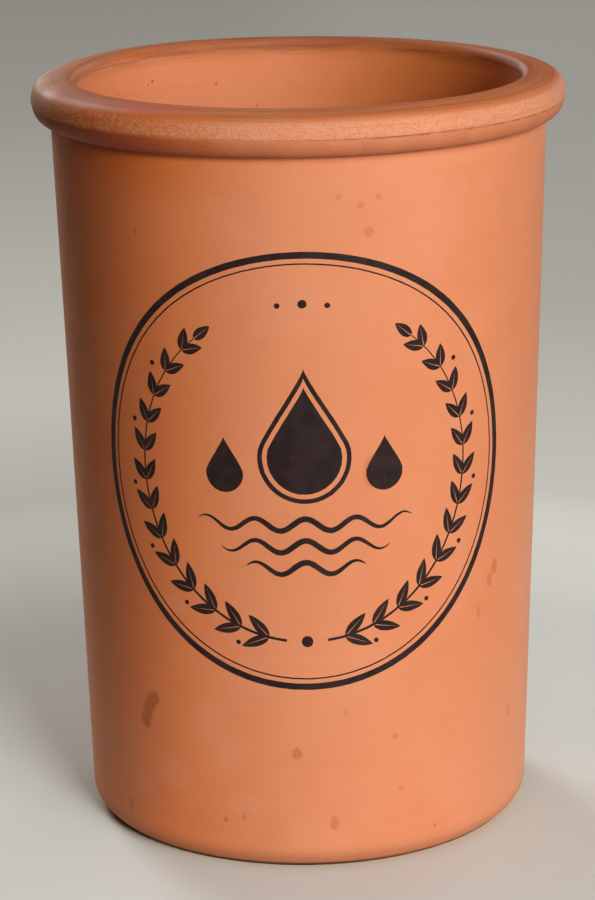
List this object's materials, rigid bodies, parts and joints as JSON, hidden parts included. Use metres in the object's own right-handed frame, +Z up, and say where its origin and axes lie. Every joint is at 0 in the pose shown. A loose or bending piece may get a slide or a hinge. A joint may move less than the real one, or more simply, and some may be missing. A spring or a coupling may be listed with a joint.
{
  "type": "terracotta water cooler",
  "caption": "Open terracotta cooler pot with a gently tapered wall, rolled rim and chamfered foot; soaked in water, it cools a bottle or jug stood inside it.",
  "frame": {"origin": "centre of the standing face, on the pot's axis", "axes": "+Z up along the pot's axis, -Y towards the front, where the round print is, +X to the viewer's right"},
  "size_m": [0.183, 0.183, 0.262],
  "materials": {
    "terracotta": "unglazed matt fired clay"
  },
  "bodies": {
    "root": {"cooler_pot": "terracotta"}
  },
  "joints": []
}
